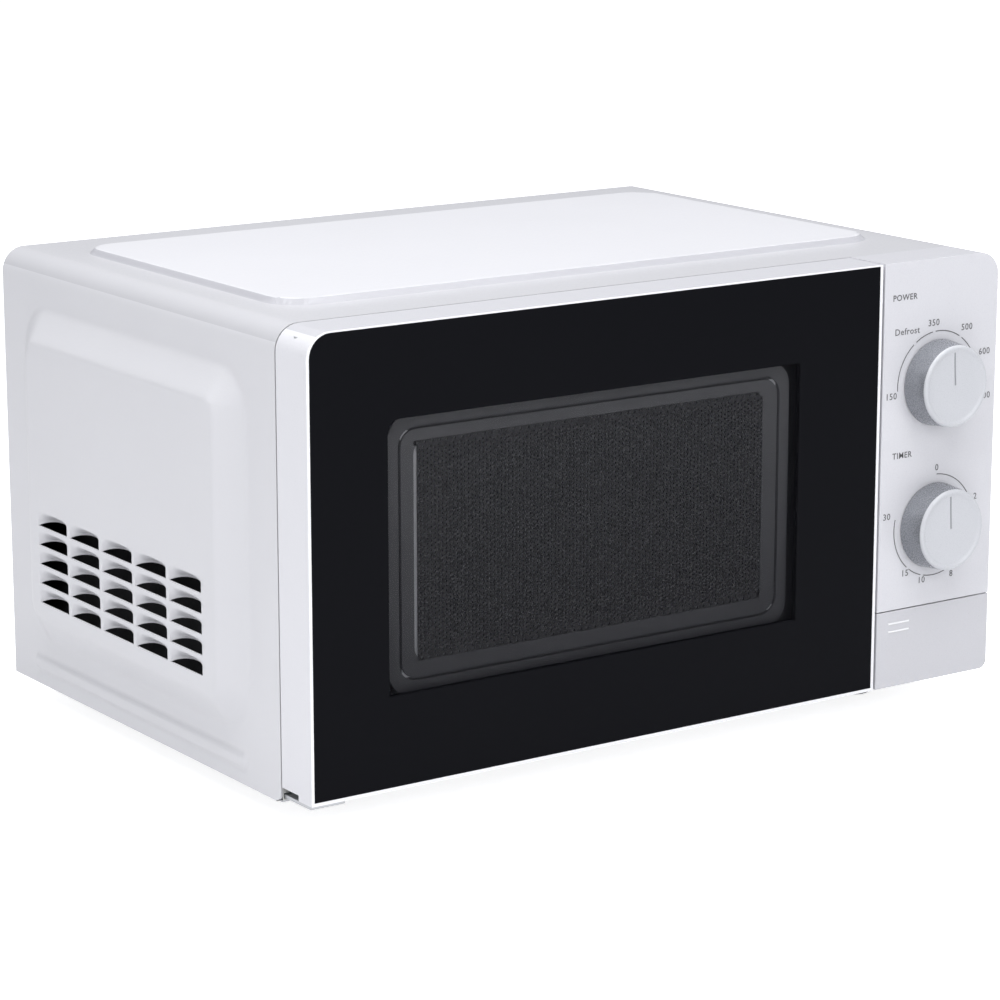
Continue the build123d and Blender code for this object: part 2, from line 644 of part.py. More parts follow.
with BuildPart() as fan_blade:
    rod((fan_centre[0], 145, fan_centre[1]), 1.6, 20, along_y)
    rod((fan_centre[0], blade_y, fan_centre[1]), 10, 12, along_y)
    for blade in range(5):
        turn = 72 * blade
        reach = (fan_centre[0] + 24 * math.sin(math.radians(turn)), blade_y,
                 fan_centre[1] + 24 * math.cos(math.radians(turn)))
        with Locations(Location(reach, (0, turn, 0))):
            Box(18, 1.6, 32, rotation=(0, 0, 35))
pieces["fan_blade"] = fan_blade

with BuildPart() as air_duct:
    block((140, 202), (112, 140), (158, 222))
    block((142, 200), (111, 138), (160, 220), Mode.SUBTRACT)
    block((144, 198), (120, 138), (154, 164), Mode.SUBTRACT)
pieces["air_duct"] = air_duct

lamp_y = -50
lamp_z = 201
with BuildPart() as lamp_socket:
    block((108, 136), (lamp_y - 24, lamp_y + 22), (186, 189))
    block((132, 136), (lamp_y - 24, lamp_y + 22), (189, 218))
    rod((128, lamp_y, lamp_z), 10, 8, along_x)
pieces["lamp_socket"] = lamp_socket

lamp_radius = 7
with BuildPart() as lamp_bulb:
    rod((116, lamp_y, lamp_z), lamp_radius, 16, along_x)
    fillet(lamp_bulb.edges().group_by(Axis.X)[0], lamp_radius - 0.5)
pieces["lamp_bulb"] = lamp_bulb

with BuildPart() as thermal_cutout:
    rod((109, -5, 120), 8, 6, along_x)
    block((112, 118), (-9, -1), (118, 122))
pieces["thermal_cutout"] = thermal_cutout

with BuildPart() as noise_filter:
    block((180, 214), (112, 136), (20, 50))
    rod((197, 124, 56), 9, 12)
pieces["noise_filter"] = noise_filter

for name, piece in pieces.items():
    piece.part.label = name
    export_step(piece.part, f"parts/{name}.step")
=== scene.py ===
import json
import math

import bpy
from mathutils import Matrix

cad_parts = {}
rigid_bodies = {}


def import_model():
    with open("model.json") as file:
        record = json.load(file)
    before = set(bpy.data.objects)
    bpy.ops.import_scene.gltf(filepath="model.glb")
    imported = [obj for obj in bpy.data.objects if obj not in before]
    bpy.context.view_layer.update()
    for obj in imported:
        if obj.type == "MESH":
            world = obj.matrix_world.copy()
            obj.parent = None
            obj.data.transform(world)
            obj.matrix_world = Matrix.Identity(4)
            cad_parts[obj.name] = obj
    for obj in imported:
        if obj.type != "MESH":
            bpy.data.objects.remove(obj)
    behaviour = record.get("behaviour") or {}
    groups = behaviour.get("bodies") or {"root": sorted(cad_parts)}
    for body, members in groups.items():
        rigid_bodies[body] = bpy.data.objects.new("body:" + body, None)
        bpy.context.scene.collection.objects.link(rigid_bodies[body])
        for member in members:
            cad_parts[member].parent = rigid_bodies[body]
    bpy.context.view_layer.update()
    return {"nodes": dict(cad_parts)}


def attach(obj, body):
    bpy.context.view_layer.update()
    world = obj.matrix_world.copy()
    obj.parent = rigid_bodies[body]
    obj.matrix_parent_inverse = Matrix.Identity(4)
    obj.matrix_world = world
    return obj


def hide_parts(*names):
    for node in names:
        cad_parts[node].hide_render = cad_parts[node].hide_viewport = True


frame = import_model()
nodes = frame["nodes"]
print("frame loaded:", len(nodes), "pieces")

# small helpers; all sizes below are millimetres


def mm(*values):
    scaled = tuple(value / 1000 for value in values)
    return scaled if len(scaled) > 1 else scaled[0]


def clearSelection():
    if bpy.context.object and bpy.context.object.mode != "OBJECT":
        bpy.ops.object.mode_set(mode="OBJECT")
    bpy.ops.object.select_all(action="DESELECT")


def makeActive(piece):
    clearSelection()
    piece.select_set(True)
    bpy.context.view_layer.objects.active = piece


def settle(piece):
    makeActive(piece)  # leaves the object at the origin, with its place in its mesh
    bpy.ops.object.transform_apply(location=True, rotation=True, scale=True)
    return piece


def startBox(name, low, high):
    clearSelection()
    bpy.ops.mesh.primitive_cube_add(size=1)
    piece = bpy.context.object
    piece.name = piece.data.name = name
    piece.location = mm(*[(a + b) / 2 for a, b in zip(low, high)])
    piece.scale = mm(*[b - a for a, b in zip(low, high)])
    return settle(piece)


def startRound(name, centre, radius, length, sides):
    clearSelection()  # a cylinder lying front to back
    bpy.ops.mesh.primitive_cylinder_add(vertices=sides, radius=mm(radius), depth=mm(length))
    piece = bpy.context.object
    piece.name = piece.data.name = name
    piece.location = mm(*centre)
    piece.rotation_euler = (math.pi / 2, 0, 0)
    return settle(piece)


def chooseFaces(piece, test):
    makeActive(piece)  # test takes the middle in mm and the normal; edit mode is left on
    bpy.context.tool_settings.mesh_select_mode = (False, False, True)
    bpy.ops.object.mode_set(mode="EDIT")
    bpy.ops.mesh.select_all(action="DESELECT")
    bpy.ops.object.mode_set(mode="OBJECT")
    for face in piece.data.polygons:
        face.select = bool(test(face.center * 1000, face.normal))
    bpy.ops.object.mode_set(mode="EDIT")


def chooseEdges(piece, test):
    makeActive(piece)  # test takes both ends in mm; edit mode is left on
    bpy.context.tool_settings.mesh_select_mode = (False, True, False)
    bpy.ops.object.mode_set(mode="EDIT")
    bpy.ops.mesh.select_all(action="DESELECT")
    bpy.ops.object.mode_set(mode="OBJECT")
    points = piece.data.vertices
    for edge in piece.data.edges:
        a, b = (points[index].co * 1000 for index in edge.vertices)
        edge.select = bool(test(a, b))
    bpy.ops.object.mode_set(mode="EDIT")


def fitSelection(piece, low, high):
    # moves and stretches what is selected to a span; None leaves that axis alone
    bpy.ops.object.mode_set(mode="OBJECT")
    chosen = [point.co * 1000 for point in piece.data.vertices if point.select]
    bpy.ops.object.mode_set(mode="EDIT")
    shift, grow, centre = [0, 0, 0], [1, 1, 1], [0, 0, 0]
    for axis in range(3):
        if low[axis] is None:
            continue
        start, end = min(point[axis] for point in chosen), max(point[axis] for point in chosen)
        shift[axis] = (low[axis] + high[axis] - start - end) / 2
        centre[axis] = (low[axis] + high[axis]) / 2
        if end - start > 1e-6:
            grow[axis] = (high[axis] - low[axis]) / (end - start)
    bpy.ops.transform.translate(value=mm(*shift))
    bpy.ops.transform.resize(value=grow, center_override=mm(*centre))


def roundEdges(piece, test, radius, segments=8):
    chooseEdges(piece, test)
    bpy.ops.mesh.bevel(offset=mm(radius), segments=segments, affect="EDGES")
    bpy.ops.object.mode_set(mode="OBJECT")


def near(value, target, slack=0.06):
    return abs(value - target) < slack


def cutWith(piece, cutter):
    # takes the cutter's shape out of the piece and throws the cutter away
    makeActive(piece)
    cut = piece.modifiers.new("cut", "BOOLEAN")
    cut.operation, cut.solver, cut.object = "DIFFERENCE", "EXACT", cutter
    bpy.ops.object.modifier_apply(modifier=cut.name)
    makeActive(cutter)
    bpy.ops.object.delete()


def softEdges(piece, width=0.5, segments=2, angle=35):
    # a small radius on every sharp edge, with flat faces kept flat in shading
    makeActive(piece)
    bevel = piece.modifiers.new("bevel", "BEVEL")
    bevel.width, bevel.segments, bevel.limit_method = mm(width), segments, "ANGLE"
    bevel.angle_limit = math.radians(angle)
    bpy.ops.object.modifier_apply(modifier=bevel.name)
    bpy.ops.object.shade_smooth_by_angle(angle=math.radians(50))
    weigh = piece.modifiers.new("weigh", "WEIGHTED_NORMAL")
    weigh.keep_sharp = True
    bpy.ops.object.modifier_apply(modifier=weigh.name)


def joinPieces(name, parts):
    makeActive(parts[0])
    for part in parts[1:]:
        part.select_set(True)
    bpy.ops.object.join()
    parts[0].name = parts[0].data.name = name
    return parts[0]


def paintFaces(piece, material, test):
    piece.data.materials.append(material)
    slotNumber = len(piece.data.materials) - 1
    for face in piece.data.polygons:
        if test(face.center * 1000, face.normal):
            face.material_index = slotNumber


def giveTo(piece, body, standsFor):
    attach(piece, body)
    if standsFor:
        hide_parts(*standsFor)


# materials and the two node groups that they share


def newGroup(name, inputs, outputs):
    group = bpy.data.node_groups.new(name, "ShaderNodeTree")
    for title, kind, start in inputs:
        socket = group.interface.new_socket(name=title, in_out="INPUT", socket_type=kind)
        if start is not None:
            socket.default_value = start
    for title, kind in outputs:
        group.interface.new_socket(name=title, in_out="OUTPUT", socket_type=kind)
    return group, group.nodes.new("NodeGroupInput"), group.nodes.new("NodeGroupOutput")


def grainGroup():
    # fine surface texture: gives a roughness and a normal that change over the surface
    group, given, made = newGroup(
        "fineGrain",
        [("Vector", "NodeSocketVector", None), ("Scale", "NodeSocketFloat", 900.0),
         ("Strength", "NodeSocketFloat", 0.1), ("Rough Low", "NodeSocketFloat", 0.3),
         ("Rough High", "NodeSocketFloat", 0.4)],
        [("Roughness", "NodeSocketFloat"), ("Normal", "NodeSocketVector")])
    link = group.links.new
    noise = group.nodes.new("ShaderNodeTexNoise")
    noise.inputs["Detail"].default_value = 3
    link(given.outputs["Vector"], noise.inputs["Vector"])
    link(given.outputs["Scale"], noise.inputs["Scale"])
    spread = group.nodes.new("ShaderNodeMapRange")
    spread.inputs["From Min"].default_value, spread.inputs["From Max"].default_value = 0.3, 0.7
    link(noise.outputs["Fac"], spread.inputs["Value"])
    link(given.outputs["Rough Low"], spread.inputs["To Min"])
    link(given.outputs["Rough High"], spread.inputs["To Max"])
    bump = group.nodes.new("ShaderNodeBump")
    bump.inputs["Distance"].default_value = 0.0003
    link(given.outputs["Strength"], bump.inputs["Strength"])
    link(noise.outputs["Fac"], bump.inputs["Height"])
    link(spread.outputs["Result"], made.inputs["Roughness"])
    link(bump.outputs["Normal"], made.inputs["Normal"])
    return group


def toneGroup():
    # broad, faint drift between two tones, with a little dust on faces that look up
    group, given, made = newGroup(
        "toneDrift",
        [("Vector", "NodeSocketVector", None), ("Tone", "NodeSocketColor", None),
         ("Second Tone", "NodeSocketColor", None), ("Scale", "NodeSocketFloat", 12.0),
         ("Dust", "NodeSocketFloat", 0.05)],
        [("Color", "NodeSocketColor")])
    link = group.links.new
    noise = group.nodes.new("ShaderNodeTexNoise")
    noise.inputs["Detail"].default_value = 4
    link(given.outputs["Vector"], noise.inputs["Vector"])
    link(given.outputs["Scale"], noise.inputs["Scale"])
    drift = group.nodes.new("ShaderNodeMix")
    drift.data_type = "RGBA"
    link(noise.outputs["Fac"], drift.inputs[0])
    link(given.outputs["Tone"], drift.inputs[6])
    link(given.outputs["Second Tone"], drift.inputs[7])
    geometry = group.nodes.new("ShaderNodeNewGeometry")
    split = group.nodes.new("ShaderNodeSeparateXYZ")
    link(geometry.outputs["Normal"], split.inputs[0])
    upward = group.nodes.new("ShaderNodeMath")
    upward.operation, upward.use_clamp = "MULTIPLY", True
    link(split.outputs["Z"], upward.inputs[0])
    link(given.outputs["Dust"], upward.inputs[1])
    dusty = group.nodes.new("ShaderNodeMix")
    dusty.data_type = "RGBA"
    dusty.inputs[7].default_value = (0.62, 0.60, 0.57, 1)
    link(upward.outputs[0], dusty.inputs[0])
    link(drift.outputs[2], dusty.inputs[6])
    link(dusty.outputs[2], made.inputs["Color"])
    return group


fineGrain = grainGroup()
toneDrift = toneGroup()


def finish(name, tone, second=None, rough=(0.3, 0.4), scale=900, strength=0.1, stretch=(1, 1, 1),
           driftScale=12, dust=0.0, **fixed):
    # one material: drifting tone and fine grain feed the shader, constants are set on its sockets
    material = bpy.data.materials.new(name)
    material.use_nodes = True
    tree = material.node_tree
    shader = tree.nodes["Principled BSDF"]
    place = tree.nodes.new("ShaderNodeTexCoord")
    turn = tree.nodes.new("ShaderNodeMapping")
    turn.inputs["Scale"].default_value = stretch
    tree.links.new(place.outputs["Object"], turn.inputs["Vector"])
    grain = tree.nodes.new("ShaderNodeGroup")
    grain.node_tree = fineGrain
    for title, value in (("Scale", scale), ("Strength", strength), ("Rough Low", rough[0]),
                         ("Rough High", rough[1])):
        grain.inputs[title].default_value = value
    drift = tree.nodes.new("ShaderNodeGroup")
    drift.node_tree = toneDrift
    drift.inputs["Tone"].default_value = (*tone, 1)
    drift.inputs["Second Tone"].default_value = (*(second or tone), 1)
    drift.inputs["Scale"].default_value = driftScale
    drift.inputs["Dust"].default_value = dust
    tree.links.new(turn.outputs["Vector"], grain.inputs["Vector"])
    tree.links.new(place.outputs["Object"], drift.inputs["Vector"])
    tree.links.new(drift.outputs["Color"], shader.inputs["Base Color"])
    tree.links.new(grain.outputs["Roughness"], shader.inputs["Roughness"])
    tree.links.new(grain.outputs["Normal"], shader.inputs["Normal"])
    for title, value in fixed.items():
        shader.inputs[title.replace("_", " ")].default_value = value
    return material


def laidUnder(tree, share, tone):
    # where the share falls to 0, this tone takes the place of the base colour
    shader = tree.nodes["Principled BSDF"]
    shade = tree.nodes.new("ShaderNodeMix")
    shade.data_type = "RGBA"
    shade.inputs[6].default_value = (*tone, 1)
    tree.links.new(share, shade.inputs[0])
    tree.links.new(shader.inputs["Base Color"].links[0].from_socket, shade.inputs[7])
    tree.links.new(shade.outputs[2], shader.inputs["Base Color"])


def banded(material, bandScale, direction, depth, dark):
    # stripes for windings and stacked sheets: a wave darkens the tone and adds a bump
    tree = material.node_tree
    shader = tree.nodes["Principled BSDF"]
    place = tree.nodes["Texture Coordinate"]
    wave = tree.nodes.new("ShaderNodeTexWave")
    wave.bands_direction = direction
    wave.inputs["Scale"].default_value = bandScale
    wave.inputs["Distortion"].default_value = 0.4
    tree.links.new(place.outputs["Object"], wave.inputs["Vector"])
    bump = tree.nodes.new("ShaderNodeBump")
    bump.inputs["Strength"].default_value = 0.8
    bump.inputs["Distance"].default_value = depth
    tree.links.new(wave.outputs["Fac"], bump.inputs["Height"])
    tree.links.new(shader.inputs["Normal"].links[0].from_socket, bump.inputs["Normal"])
    tree.links.new(bump.outputs["Normal"], shader.inputs["Normal"])
    laidUnder(tree, wave.outputs["Fac"], dark)
    return material


def paintedShadeDown(material, lowTone, span=(0.075, 0.2)):
    # painted shade: the tone goes over to a darker one towards the foot of the window
    tree = material.node_tree
    split = tree.nodes.new("ShaderNodeSeparateXYZ")
    tree.links.new(tree.nodes["Texture Coordinate"].outputs["Object"], split.inputs[0])
    height = tree.nodes.new("ShaderNodeMapRange")
    height.inputs["From Min"].default_value, height.inputs["From Max"].default_value = span
    tree.links.new(split.outputs["Z"], height.inputs["Value"])
    laidUnder(tree, height.outputs["Result"], lowTone)
    return material


def enamel(name, tone, second):
    # sprayed paint with a slight orange peel
    return finish(name, tone, second, (0.28, 0.36), 700, 0.16, dust=0.02, Coat_Weight=0.15,
                  Coat_Roughness=0.2)


def moulded(name, tone, second, rough=(0.27, 0.36)):
    # moulded plastic with a fine speckle in its tone
    return finish(name, tone, second, rough, 1500, 0.08, driftScale=1400)


whitePaint = enamel("whitePaint", (0.645, 0.645, 0.67), (0.62, 0.62, 0.645))
# painted light: a lighter copy of the white paint for the top of the raised plate
plateLitPaint = enamel("plateLitPaint", (0.72, 0.72, 0.75), (0.69, 0.69, 0.72))
# painted shade: a greyer copy of the white paint for the roof round the plate and the top of the fold
roofShadePaint = enamel("roofShadePaint", (0.54, 0.54, 0.565), (0.515, 0.515, 0.54))
# painted shade: a darker copy of the white paint for the sloping edge of the raised plate
plateSlopeShade = finish("plateSlopeShade", (0.46, 0.46, 0.49), (0.42, 0.42, 0.45), (0.3, 0.4), 700, 0.16)
# painted shade: a darker copy of the white plastic for faces that look up
topShadePlastic = moulded("topShadePlastic", (0.56, 0.56, 0.59), (0.50, 0.50, 0.53), (0.3, 0.4))
# painted highlight: a lighter copy of the white plastic for the front lip round the glass
lipHighlightPlastic = finish("lipHighlightPlastic", (0.88, 0.88, 0.90), (0.84, 0.84, 0.87), (0.2, 0.3), 1500, 0.05)
whitePlastic = moulded("whitePlastic", (0.68, 0.68, 0.71), (0.60, 0.60, 0.635))
buttonPlastic = moulded("buttonPlastic", (0.59, 0.59, 0.62), (0.53, 0.53, 0.56))
sidePlastic = moulded("sidePlastic", (0.72, 0.72, 0.75), (0.68, 0.68, 0.71))
buttonMark = finish("buttonMark", (0.90, 0.90, 0.92), (0.86, 0.86, 0.88), (0.2, 0.3), 1500, 0.03)
dialPlastic = finish("dialPlastic", (0.56, 0.57, 0.60), (0.525, 0.535, 0.565), (0.25, 0.34), 1800, 0.08,
                     driftScale=900)
dialSide = finish("dialSide", (0.265, 0.275, 0.30), (0.245, 0.255, 0.28), (0.22, 0.32), 1800, 0.04,
                  driftScale=300, Metallic=0.35)
pointerInk = finish("pointerInk", (0.30, 0.31, 0.33), (0.26, 0.27, 0.29), (0.4, 0.5), 2500, 0.05)
greyInk = finish("greyInk", (0.10, 0.10, 0.105), (0.13, 0.13, 0.135), (0.45, 0.6), 2500, 0.05)
blackPrint = finish("blackPrint", (0.0034, 0.0036, 0.0052), (0.0040, 0.0042, 0.0058), (0.05, 0.09), 300, 0.0,
                    Specular_IOR_Level=0.045)
tintedWindow = finish("tintedWindow", (0.006, 0.006, 0.008), (0.007, 0.007, 0.009), (0.03, 0.05), 300, 0.0,
                      Alpha=0.28, Specular_IOR_Level=0.06)
clearGlass = finish("clearGlass", (0.90, 0.96, 0.94), (0.88, 0.95, 0.93), (0.02, 0.05), 300, 0.02,
                    Transmission_Weight=1.0, IOR=1.5)
# painted shade: the screen, the perforated field and the film behind it grow darker towards the foot of the
# window
screenPaint = paintedShadeDown(finish("screenPaint", (0.17, 0.172, 0.185), (0.16, 0.162, 0.174), (0.45, 0.55), 1200,
                              0.03), (0.065, 0.066, 0.075))
fieldPaint = paintedShadeDown(finish("fieldPaint", (0.055, 0.056, 0.062), (0.05, 0.051, 0.056), (0.45, 0.55), 1200,
                             0.03), (0.022, 0.022, 0.026))
milkyFilm = paintedShadeDown(finish("milkyFilm", (0.86, 0.87, 0.90), (0.82, 0.83, 0.86), (0.4, 0.5), 600, 0.03),
                     (0.48, 0.49, 0.52))
cavityPaint = finish("cavityPaint", (0.52, 0.52, 0.50), (0.48, 0.48, 0.465), (0.32, 0.45), 500, 0.2,
                     dust=0.02)
# painted shade: a near-black sheet put where there is only shade, on the inside of the cover, the outside of
# the liner and the back rim of the door
shadeSheet = finish("shadeSheet", (0.030, 0.030, 0.033), (0.045, 0.045, 0.048), (0.5, 0.65), 500, 0.1)
zincSteel = finish("zincSteel", (0.60, 0.61, 0.62), (0.46, 0.47, 0.49), (0.28, 0.5), 160, 0.12,
                   stretch=(1, 1, 14), driftScale=60, dust=0.03, Metallic=1.0)
castAluminium = finish("castAluminium", (0.74, 0.75, 0.76), (0.66, 0.67, 0.68), (0.3, 0.45), 260, 0.15,
                       stretch=(12, 1, 1), driftScale=40, dust=0.02, Metallic=1.0)
blackPlastic = finish("blackPlastic", (0.018, 0.018, 0.020), (0.026, 0.026, 0.028), (0.4, 0.55), 1500, 0.2,
                      dust=0.02)
innerPlastic = finish("innerPlastic", (0.66, 0.65, 0.62), (0.60, 0.59, 0.56), (0.42, 0.55), 1300, 0.15,
                      dust=0.03)
rubberFoot = finish("rubberFoot", (0.025, 0.025, 0.026), (0.04, 0.04, 0.04), (0.6, 0.8), 900, 0.3, dust=0.06)
micaSheet = finish("micaSheet", (0.50, 0.46, 0.37), (0.36, 0.33, 0.27), (0.35, 0.6), 240, 0.25, driftScale=90)
springSteel = finish("springSteel", (0.52, 0.53, 0.55), (0.40, 0.41, 0.43), (0.25, 0.4), 900, 0.1,
                     Metallic=1.0)
copperWire = banded(finish("copperWire", (0.50, 0.20, 0.08), (0.42, 0.15, 0.06), (0.25, 0.4), 900, 0.1,
                           Metallic=0.6), 160, "X", 0.0004, (0.10, 0.035, 0.015))
coreSheets = banded(finish("coreSheets", (0.06, 0.06, 0.065), (0.09, 0.085, 0.08), (0.45, 0.6), 900, 0.1),
                    300, "X", 0.0002, (0.02, 0.02, 0.022))
print("materials made")

# cabinet cover: one sheet folded over both sides and the top

coverLook = {
    "halfWidth": 220, "front": -124, "back": 165, "bottom": 15, "top": 255,
    "cornerRadius": 13, "sheet": 0.9, "footCorner": 5,
    "embossY": (-96, 139), "embossZ": (42, 228.3), "embossRadius": 26, "rise": 10, "slope": 17,
    "beadY": (-93, 141), "beadZ": (22, 33), "beadRise": 1.5,
    "plateX": 192, "plateY": (-87, 131), "plateRadius": 20, "plateRise": 3, "plateSlope": 3,
    "louvreLength": 33, "louvreHeight": 8.8, "louvreDepth": 7.2, "lipHeight": 3.4, "lipCurl": 0.7,
    "archPowers": (2.3, 0.75), "openShare": 0.75, "beadRadius": 5.4, "beadSlope": 3.5,
    "cornerLines": (-75, -73, -71, 112.5, 114.5, 118), "snapReach": 1.15,
    "louvreY": [-49 + 36 * column for column in range(5)],
    "louvreZ": [68 + 10.75 * row for row in range(5)],
}


def insideDistance(u, v, spanU, spanV, radius):
    # how far a point is inside a rounded rectangle; negative outside
    middleU, middleV = sum(spanU) / 2, sum(spanV) / 2
    du = abs(u - middleU) - (spanU[1] - spanU[0]) / 2 + radius
    dv = abs(v - middleV) - (spanV[1] - spanV[0]) / 2 + radius
    outer = math.hypot(max(du, 0), max(dv, 0))
    return radius - outer - min(max(du, dv), 0)


def softStep(value):
    value = min(max(value, 0), 1)
    return value * value * (3 - 2 * value)


def rampStep(value, turn=0.12):
    # a straight ramp from 0 to 1 with a small turn at its foot and at its top
    if value < -turn or value > 1 + turn:
        return min(max(value, 0), 1)
    if value < turn:
        return (value + turn) ** 2 / (4 * turn)
    if value > 1 - turn:
        return 1 - (1 + turn - value) ** 2 / (4 * turn)
    return value


def sideRise(y, z):
    # how far the pressed side stands out at a point of the sheet
    look = coverLook
    rise = look["rise"] * rampStep(
        insideDistance(y, z, look["embossY"], look["embossZ"], look["embossRadius"]) / look["slope"])
    bead = insideDistance(y, z, look["beadY"], look["beadZ"], look["beadRadius"]) / look["beadSlope"]
    rise += look["beadRise"] * softStep(bead)
    return rise


def lipArch(y):
    # height of the louvre's arched lip at y, from 0 to 1, or nothing between the louvres
    inner, outer = coverLook["archPowers"]
    for middle in coverLook["louvreY"]:
        along = abs(y - middle) / (coverLook["louvreLength"] / 2)
        if along < 1:
            return (1 - along ** inner) ** outer
    return None


def hoodPoint(y, z):
    # the height and the depth that a point of the sheet takes where it is pressed into a hood
    look = coverLook
    arch = lipArch(y)
    for low in look["louvreZ"]:
        up = z - low
        if arch is None or not 0 < up < look["louvreHeight"]:
            continue
        lip = look["lipHeight"] * arch
        if up < look["lipHeight"]:
            return low + up * arch, look["louvreDepth"] * arch
        share = (up - look["lipHeight"]) / (look["louvreHeight"] - look["lipHeight"])
        depth = look["louvreDepth"] * arch * softStep(1 - share)
        if share < 0.01:
            depth -= look["lipCurl"] * arch
        return low + lip + share * (look["louvreHeight"] - lip), depth
    return z, 0


def spread(start, end, step):
    count = max(1, round((end - start) / step))
    return [start + (end - start) * index / count for index in range(count)]


def coverLines():
    # heights up the side and places front to back: close together where the sheet bends
    look = coverLook
    wallTop = look["top"] - look["cornerRadius"]
    beadFoot, beadHead = look["beadZ"][0] - 1, look["beadZ"][1] + 1
    upSide = spread(look["bottom"], beadFoot, 2) + spread(beadFoot, beadHead, 1.3)
    upSide += spread(beadHead, look["embossZ"][0] - 2, 3)
    upSide += spread(look["embossZ"][0] - 2, look["embossZ"][0] + look["slope"] + 2, 1.2) + [62, 65]
    for low in look["louvreZ"]:
        lip, head = low + look["lipHeight"], low + look["louvreHeight"]
        upSide += [low - 0.6, low] + spread(lip, head, 0.6) + [head]
    upSide += spread(124, look["embossZ"][1] - look["slope"] - 2, 8)
    upSide += spread(look["embossZ"][1] - look["slope"] - 2, look["embossZ"][1] + 2, 1.2)
    upSide += spread(look["embossZ"][1] + 2, wallTop, 4)
    frontFoot, frontHead = look["embossY"][0] - 2, look["embossY"][0] + look["slope"] + 2
    backHead, backFoot = look["embossY"][1] - look["slope"] - 2, look["embossY"][1] + 2
    along = spread(look["front"], frontFoot, 4) + spread(frontFoot, frontHead, 1.2) + [frontHead, -70]
    for middle in look["louvreY"]:
        half = look["louvreLength"] / 2
        along += [middle - half * math.cos(math.pi * index / 12) for index in range(13)]
    along += [116.5] + spread(backHead, backFoot, 1.2) + spread(backFoot, look["back"], 6) + [look["back"]]
    along = [round(y, 3) for y in along] + list(look["cornerLines"])
    for start in (look["plateY"][0], look["plateY"][1] - look["plateSlope"]):
        along += spread(start - 0.6, start + look["plateSlope"] + 0.6, 0.6)
    slopeHead = look["plateSlope"] + 0.6 - look["plateX"]
    topRun = [-look["plateX"] - 3] + spread(-look["plateX"] - 0.6, slopeHead, 0.6)
    topRun += spread(slopeHead, look["plateRadius"] - look["plateX"], 2)
    topRun += spread(look["plateRadius"] - look["plateX"], 0, 24) + [0]
    return upSide, sorted(set(along)), topRun


def sectionPoint(distance, upSide, topRun):
    # a point and its outward direction on the folded section, for a line number of the grid
    look = coverLook
    wallTop, radius = look["top"] - look["cornerRadius"], look["cornerRadius"]
    if distance < len(upSide):
        return -look["halfWidth"], upSide[distance], -1, 0
    distance -= len(upSide)
    if distance <= 9:
        angle = math.radians(10 * distance)
        return (-look["halfWidth"] + radius - radius * math.cos(angle), wallTop + radius * math.sin(angle),
                -math.cos(angle), math.sin(angle))
    distance -= 10
    return topRun[distance], look["top"], 0, 1


def isOpen(y, z):
    # whether a face lies in the mouth of a hood
    arch = lipArch(y)
    mouth = coverLook["openShare"] * coverLook["lipHeight"] * (arch or 0)
    return any(0 < z - low < mouth for low in coverLook["louvreZ"])


def insidePlate(x, y):
    look = coverLook
    return insideDistance(x, y, (-look["plateX"], look["plateX"]), look["plateY"], look["plateRadius"])


def snapToPlate(x, y):
    # a grid point close to the plate's outline or to the top of its slope is moved onto it at the corners
    look = coverLook
    radius = look["plateRadius"]
    cornerX = radius - look["plateX"]
    for cornerY, side in ((look["plateY"][0] + radius, -1), (look["plateY"][1] - radius, 1)):
        reach = math.hypot(x - cornerX, y - cornerY)
        for wanted in (radius, radius - look["plateSlope"]):
            if x < cornerX and (y - cornerY) * side > 0 and near(reach, wanted, look["snapReach"]):
                return cornerX + (x - cornerX) * wanted / reach, cornerY + (y - cornerY) * wanted / reach
    return x, y


